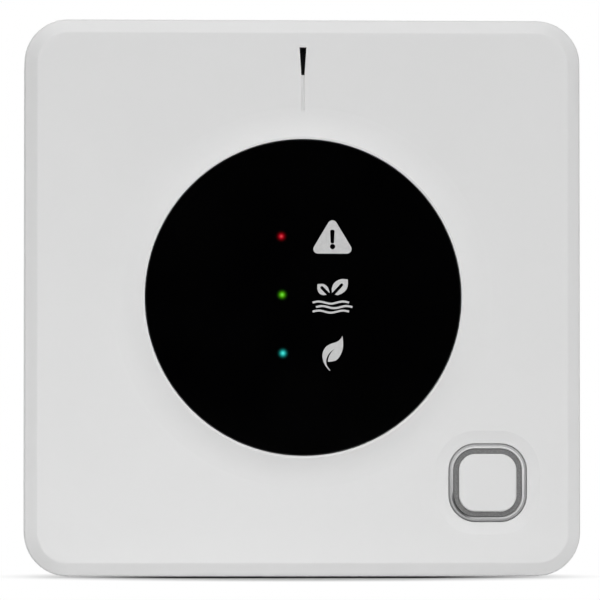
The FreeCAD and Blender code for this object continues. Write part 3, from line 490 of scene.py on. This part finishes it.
def deselect():
    if bpy.context.object and bpy.context.object.mode != "OBJECT":
        bpy.ops.object.mode_set(mode="OBJECT")
    bpy.ops.object.select_all(action="DESELECT")


def choose(pieces):
    """Make the pieces the only ones selected, and the first of them active."""
    deselect()
    for piece in pieces:
        piece.select_set(True)
    bpy.context.view_layer.objects.active = pieces[0]


def joined(pieces):
    """The pieces as one."""
    choose(pieces)
    bpy.ops.object.join()
    return bpy.context.object


def settle(piece, name, body):
    """Apply the piece's place, name it and let it ride on its body."""
    choose([piece])
    bpy.ops.object.transform_apply(location=True, rotation=True, scale=True)
    piece.name = name
    piece.data.name = name
    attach(piece, body)


def round_corners(corners, radius, steps):
    """The outline round equal circles about the corners, which run anticlockwise."""
    points = []
    count = len(corners)
    for i, corner in enumerate(corners):
        before = Vector(corner) - Vector(corners[i - 1])
        after = Vector(corners[(i + 1) % count]) - Vector(corner)
        start = math.atan2(before.y, before.x) - math.pi / 2
        turn = (math.atan2(after.y, after.x) - math.atan2(before.y, before.x)) % math.tau
        for step in range(steps + 1):
            angle = start + turn * step / steps
            points.append((corner[0] + radius * math.cos(angle), corner[1] + radius * math.sin(angle)))
    return points


def smooth_outline(runs, steps=6):
    """A closed outline of smooth runs; each run ends at the point where the next one starts."""
    outline = []
    for i, run in enumerate(runs):
        points = [Vector(p) for p in (*run, runs[(i + 1) % len(runs)][0])]
        padded = [points[0] * 2 - points[1], *points, points[-1] * 2 - points[-2]]
        for a, b, c, d in zip(padded, padded[1:], padded[2:], padded[3:]):
            for step in range(steps):
                t = step / steps
                bow = (c - a) * t + (a * 2 - b * 5 + c * 4 - d) * t * t + (b * 3 - a - c * 3 + d) * t ** 3
                outline.append(tuple(b + bow / 2))
    return outline


def ribbon(points, width):
    """A closed strip of even width along the points."""
    left, right = [], []
    for i, point in enumerate(points):
        ahead = Vector(points[min(i + 1, len(points) - 1)]) - Vector(points[max(i - 1, 0)])
        side = Vector((-ahead.y, ahead.x)).normalized() * width / 2
        left.append(tuple(Vector(point) + side))
        right.append(tuple(Vector(point) - side))
    return left + right[::-1]


def flat_sign(name, outlines, material, thick):
    """A printed sign from closed outlines in millimetres; an outline inside another leaves a hole."""
    curve = bpy.data.curves.new(name, "CURVE")
    curve.dimensions = "2D"
    curve.fill_mode = "BOTH"
    curve.extrude = thick / 2
    for outline in outlines:
        spline = curve.splines.new("POLY")
        spline.points.add(len(outline) - 1)
        for point, (across, up) in zip(spline.points, outline):
            point.co = (across * MM, up * MM, 0, 1)
        spline.use_cyclic_u = True
    sign = bpy.data.objects.new(name, curve)
    bpy.context.scene.collection.objects.link(sign)
    choose([sign])
    bpy.ops.object.convert(target="MESH")
    sign = bpy.context.object
    sign.data.materials.append(material)
    sign.rotation_euler = (math.radians(90), 0, 0)
    sign.location = (0, WINDOW_FRONT - thick / 2, 0)
    settle(sign, name, "front")
    bpy.ops.object.mode_set(mode="EDIT")
    bpy.ops.mesh.select_all(action="SELECT")
    bpy.ops.mesh.remove_doubles(threshold=0.000001)
    bpy.ops.mesh.normals_make_consistent(inside=False)
    bpy.ops.object.mode_set(mode="OBJECT")


# Outlines of the window signs, in millimetres from the window's middle

# The triangle, its stroke and its dot: corners, the radius that rounds them, and steps in each round
CAUTION = (
    ([(2.21, 7.3), (6.57, 7.3), (4.39, 10.94)], 0.7, 8),
    ([(4.32, 8.36), (4.44, 8.36), (4.51, 9.98), (4.25, 9.98)], 0.21, 5),
    ([(4.37, 7.67), (4.41, 7.63), (4.45, 7.67), (4.41, 7.71)], 0.36, 5),
)

# The leaves, as smooth runs: a new run starts at each corner
SPROUT = {
    "sign_sprout_small": (
        [(2.14, 2.0), (2.98, 2.02), (3.62, 1.62), (3.9, 0.98)],
        [(3.93, 0.67)],
        [(2.95, 1.65), (2.72, 1.7), (2.56, 1.54)],
        [(2.61, 1.31)],
        [(3.52, 0.4), (3.0, 0.36), (2.42, 0.6), (2.13, 1.2)],
    ),
    "sign_sprout_large": (
        [(6.71, 2.72), (5.6, 2.73), (4.68, 2.2), (4.31, 1.4)],
        [(4.33, 0.67)],
        [(5.6, 2.03), (5.82, 2.13), (6.01, 1.93)],
        [(5.94, 1.71)],
        [(4.75, 0.43), (5.2, 0.37), (5.8, 0.6), (6.42, 1.1), (6.7, 1.8)],
    ),
}
LEAF = (
    [(5.91, -5.8), (6.0, -6.83), (5.95, -7.73), (5.62, -8.64), (5.04, -9.4), (4.36, -9.64)],
    [(3.71, -9.7), (3.76, -9.24), (3.98, -8.64), (4.36, -8.11)],
    [(4.74, -7.76), (4.21, -8.11), (3.76, -8.64), (3.5, -9.24)],
    [(3.43, -9.7), (3.58, -10.3), (4.03, -10.94)],
    [(3.95, -11.03), (3.51, -10.53), (3.1, -9.85), (2.88, -8.94), (2.98, -8.19), (3.41, -7.45), (4.14, -7.0),
     (5.04, -6.7), (5.57, -6.3)],
)

# The lines of moving air: where each starts, and what they share
AIR_STARTS = ((1.4, -0.78), (1.9, -1.46), (1.4, -2.14))
AIR_LENGTH = 5.5
AIR_SWING = 0.16
AIR_WAVES = 1.5
AIR_WIDTH = 0.3


def air_line(across, up, steps=40):
    """Points along one wavy line of air."""
    return [(across + AIR_LENGTH * i / steps, up + AIR_SWING * math.sin(math.tau * AIR_WAVES * i / steps))
            for i in range(steps + 1)]


# Places of the small parts on the back of the sensor board and the front of the terminal board, in
# millimetres across and up, with 1 for a part whose length runs upwards
SMALL_PARTS = {
    "sensor_resistors": (
        (-17.6, -4.4, 1), (-17.6, -1.6, 1), (-24, -9.2, 0), (-21, -9.2, 0), (-30.2, 1.2, 1), (19, -6.6, 0),
        (29, 0.5, 1), (27, 12, 0), (30, 12, 0), (-27, 14, 0), (-30, 14, 0), (-12, 30, 0), (12, 30, 0),
    ),
    "sensor_capacitors": (
        (-30.2, -3.5, 1), (-27.2, -9.2, 0), (-18.8, 1.8, 0), (20, 1.6, 0), (24, 2.2, 0), (29, -3, 1),
        (-24, 14, 0), (24, 12, 0), (18, -28, 1), (3.2, -24, 0),
    ),
    "terminal_resistors": (
        (-10.5, 23, 1), (-10.5, 26, 1), (10.2, 23, 1), (-22.8, 20.5, 1), (22.6, 20.5, 1),
    ),
    "terminal_capacitors": (
        (-7.8, 22.4, 0), (-4.6, 22.4, 0), (3.2, 22.4, 0), (6.6, 22.4, 0), (-22.8, 24, 1),
    ),
}
# Shares of a small part's length that is solder at each end, and of its height that its edges are rounded by
SOLDERED_END = 0.2
ROUNDED_EDGE = 0.12


def chip_part(size, body_material, end_material):
    """A small block part with soldered ends: length along x, height along y, width along z."""
    joint = size[0] * (0.5 - SOLDERED_END)
    deselect()
    bpy.ops.mesh.primitive_cube_add(size=1)
    part = bpy.context.object
    part.scale = size
    bpy.ops.object.transform_apply(location=False, rotation=False, scale=True)
    bpy.ops.object.mode_set(mode="EDIT")
    for side in (-1, 1):
        bpy.ops.mesh.select_all(action="SELECT")
        bpy.ops.mesh.bisect(plane_co=(side * joint, 0, 0), plane_no=(1, 0, 0))
    bpy.ops.object.mode_set(mode="OBJECT")
    part.data.materials.append(body_material)
    part.data.materials.append(end_material)
    for face in part.data.polygons:
        face.material_index = int(abs(face.center.x) > joint)
    bevel = part.modifiers.new("edges", "BEVEL")
    bevel.width = size[1] * ROUNDED_EDGE
    bevel.segments = 2
    bpy.ops.object.modifier_apply(modifier="edges")
    return part


def spread(part, places, level, out):
    """Copies of a part at its places on a board's face, joined; out is +1 or -1 along Y, off the board."""
    height = part.dimensions.y
    copies = []
    for across, up, turned in places:
        twin = part.copy()
        twin.data = part.data.copy()
        bpy.context.scene.collection.objects.link(twin)
        twin.location = (across * MM, level + out * height / 2, up * MM)
        twin.rotation_euler = (0, math.radians(90 if turned else 0), 0)
        copies.append(twin)
    bpy.data.objects.remove(part)
    return joined(copies)


# Operators: the finishes, each group of pieces, and the stage


class SENSOR_OT_finishes(bpy.types.Operator):
    """Give every construction part the finish of its record slot"""
    bl_idname = "sensor.finishes"
    bl_label = "Finishes"

    def execute(self, context):
        scene = context.scene
        made = {}
        for part in frame["record"]["subparts"]:
            slot = part["material_slot"]
            if slot not in made:
                made[slot] = finish_for(slot, scene.sensor_finishes, scene.sensor_window)
            mesh = frame["nodes"][part["node"]].data
            mesh.materials.clear()
            mesh.materials.append(made[slot])
        return {"FINISHED"}


class SENSOR_OT_window_signs(bpy.types.Operator):
    """Print the three plain signs beside the lamps: a caution triangle, a sprout in moving air and a leaf"""
    bl_idname = "sensor.window_signs"
    bl_label = "Window Signs"

    def execute(self, context):
        look = context.scene.sensor_window
        ink = printed("sign_ink", look.sign)
        signs = {"sign_caution": [round_corners(*shape) for shape in CAUTION]}
        for name, leaf in SPROUT.items():
            signs[name] = [smooth_outline(leaf)]
        for row, start in enumerate(AIR_STARTS):
            signs[f"sign_air_{row + 1}"] = [ribbon(air_line(*start), AIR_WIDTH)]
        signs["sign_leaf"] = [smooth_outline(LEAF)]
        for name, outlines in signs.items():
            flat_sign(name, outlines, ink, look.print_thick)
        return {"FINISHED"}


class SENSOR_OT_board_parts(bpy.types.Operator):
    """Set the small resistors and capacitors on both circuit boards"""
    bl_idname = "sensor.board_parts"
    bl_label = "Board Parts"

    def execute(self, context):
        look = context.scene.sensor_boards
        dark, tan = (moulded(name, *MOULDINGS[name]) for name in ("resistor_body", "capacitor_body"))
        solder = satin_metal("solder", *METALS["solder"])
        kinds = {
            "resistors": (look.resistor_height, dark, "chip_black"),
            "capacitors": (look.capacitor_height, tan, "ferrite"),
        }
        boards = {"sensor": (SENSOR_BOARD_BACK, 1, "front"), "terminal": (TERMINAL_BOARD_FRONT, -1, "base")}
        for name, places in SMALL_PARTS.items():
            board, kind = name.split("_")
            level, out, body = boards[board]
            height, material, slot = kinds[kind]
            part = chip_part((look.chip_length, height, look.chip_width), material, solder)
            settle(spread(part, places, level, out), name, body)
        return {"FINISHED"}


class SENSOR_OT_rectifier_leads(bpy.types.Operator):
    """Bend the four leads of the bridge rectifier down to the terminal board"""
    bl_idname = "sensor.rectifier_leads"
    bl_label = "Rectifier Leads"

    def execute(self, context):
        look = context.scene.sensor_boards
        # How far a lead runs out of the case, leans outwards on its way down, and runs on along the board
        stub, slant, foot = 0.0004, 0.0003, 0.0007
        low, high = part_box("bridge_rectifier")
        middle = (low + high) / 2
        drop = high.y - middle.y - look.lead_thick
        leads = []
        for side, edge in ((-1, low.z), (1, high.z)):
            for across in (-look.lead_pitch / 2, look.lead_pitch / 2):
                deselect()
                bpy.ops.mesh.primitive_cube_add(
                    size=1, location=(middle.x + across, middle.y, edge + side * stub / 2))
                lead = bpy.context.object
                lead.scale = (look.lead_width, look.lead_thick, stub)
                bpy.ops.object.transform_apply(location=True, rotation=False, scale=True)
                for shift in ((0, drop, side * slant), (0, 0, side * foot)):
                    self.draw_out(lead, side, shift)
                leads.append(lead)
        piece = joined(leads)
        piece.data.materials.append(satin_metal("lead_tin", *METALS["lead_tin"]))
        settle(piece, "rectifier_leads", "base")
        return {"FINISHED"}

    def draw_out(self, lead, side, shift):
        """Extrude the lead's outermost face; side is +1 or -1 along Z."""
        outer = max(lead.data.polygons, key=lambda face: side * face.center.z).index
        bpy.ops.object.mode_set(mode="EDIT")
        bpy.ops.mesh.select_mode(type="FACE")
        bpy.ops.mesh.select_all(action="DESELECT")
        bpy.ops.object.mode_set(mode="OBJECT")
        lead.data.polygons[outer].select = True
        bpy.ops.object.mode_set(mode="EDIT")
        bpy.ops.mesh.extrude_region_move(TRANSFORM_OT_translate={"value": shift})
        bpy.ops.object.mode_set(mode="OBJECT")


class SENSOR_OT_stage(bpy.types.Operator):
    """Set the pale floor, the soft lamps, the white room, the dark card and the camera"""
    bl_idname = "sensor.stage"
    bl_label = "Stage"

    def execute(self, context):
        look = context.scene.sensor_stage
        deselect()
        bpy.ops.mesh.primitive_plane_add(size=6, location=(0, 0, FLOOR_LEVEL - look.floor_gap))
        floor = bpy.context.object
        floor.name = "floor"
        floor.data.materials.append(self.paper())
        self.room(context, look.ambient)
        self.soft_lamp("overhead_lamp", (-0.03, 0.15, 0.7), (0.5, 0.4), look.overhead)
        self.soft_lamp("upper_left_lamp", (-0.45, -1.4, 2.3), (1.2, 1.2), look.key)
        self.soft_lamp("left_lamp", (-1.1, -1.0, 0.1), (0.6, 0.3), look.left)
        self.soft_lamp("right_lamp", (1.1, -1.0, 0.1), (0.6, 0.3), look.right)
        self.soft_lamp("rear_lamp", (0.5, 1.8, 0.35), (1.0, 0.5), look.rear)
        self.low_spot(look.low)
        self.dark_card()
        self.camera(context, look)
        context.scene.view_settings.view_transform = "Standard"
        return {"FINISHED"}

    def paper(self):
        """Pale floor that keeps the real shadow near the sensor, darkened there for the camera by painted
        shade, and is plain white farther off.
        """
        # Near the sensor the camera sees the paper at about half its colour, a painted shade over the real
        # shadow; it lies in an oval round the middle, a little narrower sideways, and fades to white outwards
        oval, fade = (1.15, 1, 0), (0.023, 0.058)
        made = Finish("floor_paper")
        fibre = made.noise(0.004, detail=3.0)
        seen = made.add("ShaderNodeLightPath").outputs["Is Camera Ray"]
        card = made.blend(fibre, (0.88, 0.88, 0.88), (0.92, 0.92, 0.92))
        # Painted shade: the colour the camera sees, about half of the paper's colour for other rays
        bright = made.blend(fibre, (0.48, 0.48, 0.48), (0.52, 0.52, 0.52))
        made.set(Base_Color=made.blend(seen, card, bright), Roughness=0.9, Specular_IOR_Level=0.0)
        far = made.span(made.vector("LENGTH", made.mapped(oval)), *fade, smooth=True)
        white = made.add("ShaderNodeEmission", Color=(1, 1, 1, 1), Strength=1.0)
        mix = made.add("ShaderNodeMixShader")
        parts = (made.times(far, seen), made.shader.outputs[0], white.outputs[0])
        for socket, part in zip(mix.inputs, parts):
            made.feed(socket, part)
        made.feed(made.tree.nodes["Material Output"].inputs["Surface"], mix.outputs[0])
        return made.material

    def room(self, context, ambient):
        """White all round for the camera and in reflections, and a weaker even light on the sensor."""
        world = context.scene.world or bpy.data.worlds.new("room")
        context.scene.world = world
        world.use_nodes = True
        tree = world.node_tree
        tree.nodes.clear()
        rays = tree.nodes.new("ShaderNodeLightPath")
        total = rays.outputs["Is Camera Ray"]
        for name in ("Is Glossy Ray", "Is Transmission Ray"):
            either = tree.nodes.new("ShaderNodeMath")
            either.operation = "MAXIMUM"
            tree.links.new(total, either.inputs[0])
            tree.links.new(rays.outputs[name], either.inputs[1])
            total = either.outputs[0]
        level = tree.nodes.new("ShaderNodeMapRange")
        tree.links.new(total, level.inputs["Value"])
        level.inputs["To Min"].default_value = ambient
        level.inputs["To Max"].default_value = 1.0
        background = tree.nodes.new("ShaderNodeBackground")
        background.inputs["Color"].default_value = (1, 1, 1, 1)
        tree.links.new(level.outputs["Result"], background.inputs["Strength"])
        output = tree.nodes.new("ShaderNodeOutputWorld")
        tree.links.new(background.outputs[0], output.inputs["Surface"])

    def dark_card(self):
        """Black card behind the camera, seen only as the dark that the window mirrors."""
        deselect()
        bpy.ops.mesh.primitive_plane_add(
            size=0.5, location=(0.05, -1.35, 0.05), rotation=(math.radians(90), 0, 0))
        card = bpy.context.object
        card.name = "dark_card"
        felt = Finish("card_felt")
        black = felt.blend(felt.noise(0.01, detail=2.0), (0.001, 0.001, 0.001), (0.002, 0.002, 0.002))
        felt.set(Base_Color=black, Roughness=1.0, Specular_IOR_Level=0.0)
        card.data.materials.append(felt.material)
        card.visible_camera = False
        card.visible_diffuse = False
        card.visible_transmission = False
        card.visible_shadow = False

    def soft_lamp(self, name, place, size, strength):
        """A large lamp that points at the sensor."""
        light = bpy.data.lights.new(name, "AREA")
        light.shape = "RECTANGLE"
        light.size, light.size_y = size
        light.energy = strength
        self.hang(light, place, (0, 0, 0))

    def low_spot(self, strength):
        """A wide-edged spot whose middle lies at the sensor's foot, so that the face is brighter low down."""
        light = bpy.data.lights.new("low_spot", "SPOT")
        light.energy = strength
        light.spot_size = math.radians(11)
        light.spot_blend = 1.0
        light.shadow_soft_size = 0.06
        self.hang(light, place=(-0.35, -1.25, 0.0), target=(-0.03, 0, -0.07))

    def hang(self, light, place, target):
        """Put a light in its place, turned to its target."""
        obj = bpy.data.objects.new(light.name, light)
        obj.location = place
        obj.rotation_euler = (Vector(target) - Vector(place)).to_track_quat("-Z", "Y").to_euler()
        bpy.context.scene.collection.objects.link(obj)

    def camera(self, context, look):
        """Camera a little to the left of and below the sensor, framed at the outer edge of its bevel."""
        data = bpy.data.cameras.new("camera")
        camera = bpy.data.objects.new("camera", data)
        context.scene.collection.objects.link(camera)
        target = Vector((look.aim_across, BEVEL_EDGE, look.aim_up))
        camera.location = target - Vector((look.camera_left, look.distance, look.camera_low))
        aim = target - camera.location
        camera.rotation_euler = aim.to_track_quat("-Z", "Y").to_euler()
        data.sensor_width = 36
        data.lens = data.sensor_width * aim.length / look.framed
        data.clip_start = 0.01
        data.clip_end = 20
        context.scene.camera = camera


class SENSOR_PT_panel(bpy.types.Panel):
    """Lists the sensor's operators, and the sizes and colours that they use"""
    bl_idname = "SENSOR_PT_panel"
    bl_label = "Air Quality Sensor"
    bl_space_type = "VIEW_3D"
    bl_region_type = "UI"
    bl_category = "Sensor"

    def draw(self, context):
        for operator in OPERATORS:
            self.layout.operator(operator.bl_idname)
        for group in GROUPS:
            settings = getattr(context.scene, group)
            for name in settings.bl_rna.properties.keys():
                if name not in ("name", "rna_type"):
                    self.layout.prop(settings, name)


OPERATORS = (SENSOR_OT_finishes, SENSOR_OT_window_signs, SENSOR_OT_board_parts, SENSOR_OT_rectifier_leads,
             SENSOR_OT_stage)
GROUPS = {
    "sensor_finishes": SensorFinishes,
    "sensor_window": SensorWindow,
    "sensor_boards": SensorBoards,
    "sensor_stage": SensorStage,
}


def register():
    for kind in (*GROUPS.values(), *OPERATORS, SENSOR_PT_panel):
        bpy.utils.register_class(kind)
    for name, group in GROUPS.items():
        setattr(bpy.types.Scene, name, bpy.props.PointerProperty(type=group))


def unregister():
    for name in GROUPS:
        delattr(bpy.types.Scene, name)
    for kind in (SENSOR_PT_panel, *reversed(OPERATORS), *reversed(tuple(GROUPS.values()))):
        bpy.utils.unregister_class(kind)


def main():
    register()
    bpy.ops.sensor.finishes()
    bpy.ops.sensor.window_signs()
    bpy.ops.sensor.board_parts()
    bpy.ops.sensor.rectifier_leads()
    bpy.ops.sensor.stage()


if __name__ == "__main__":
    main()
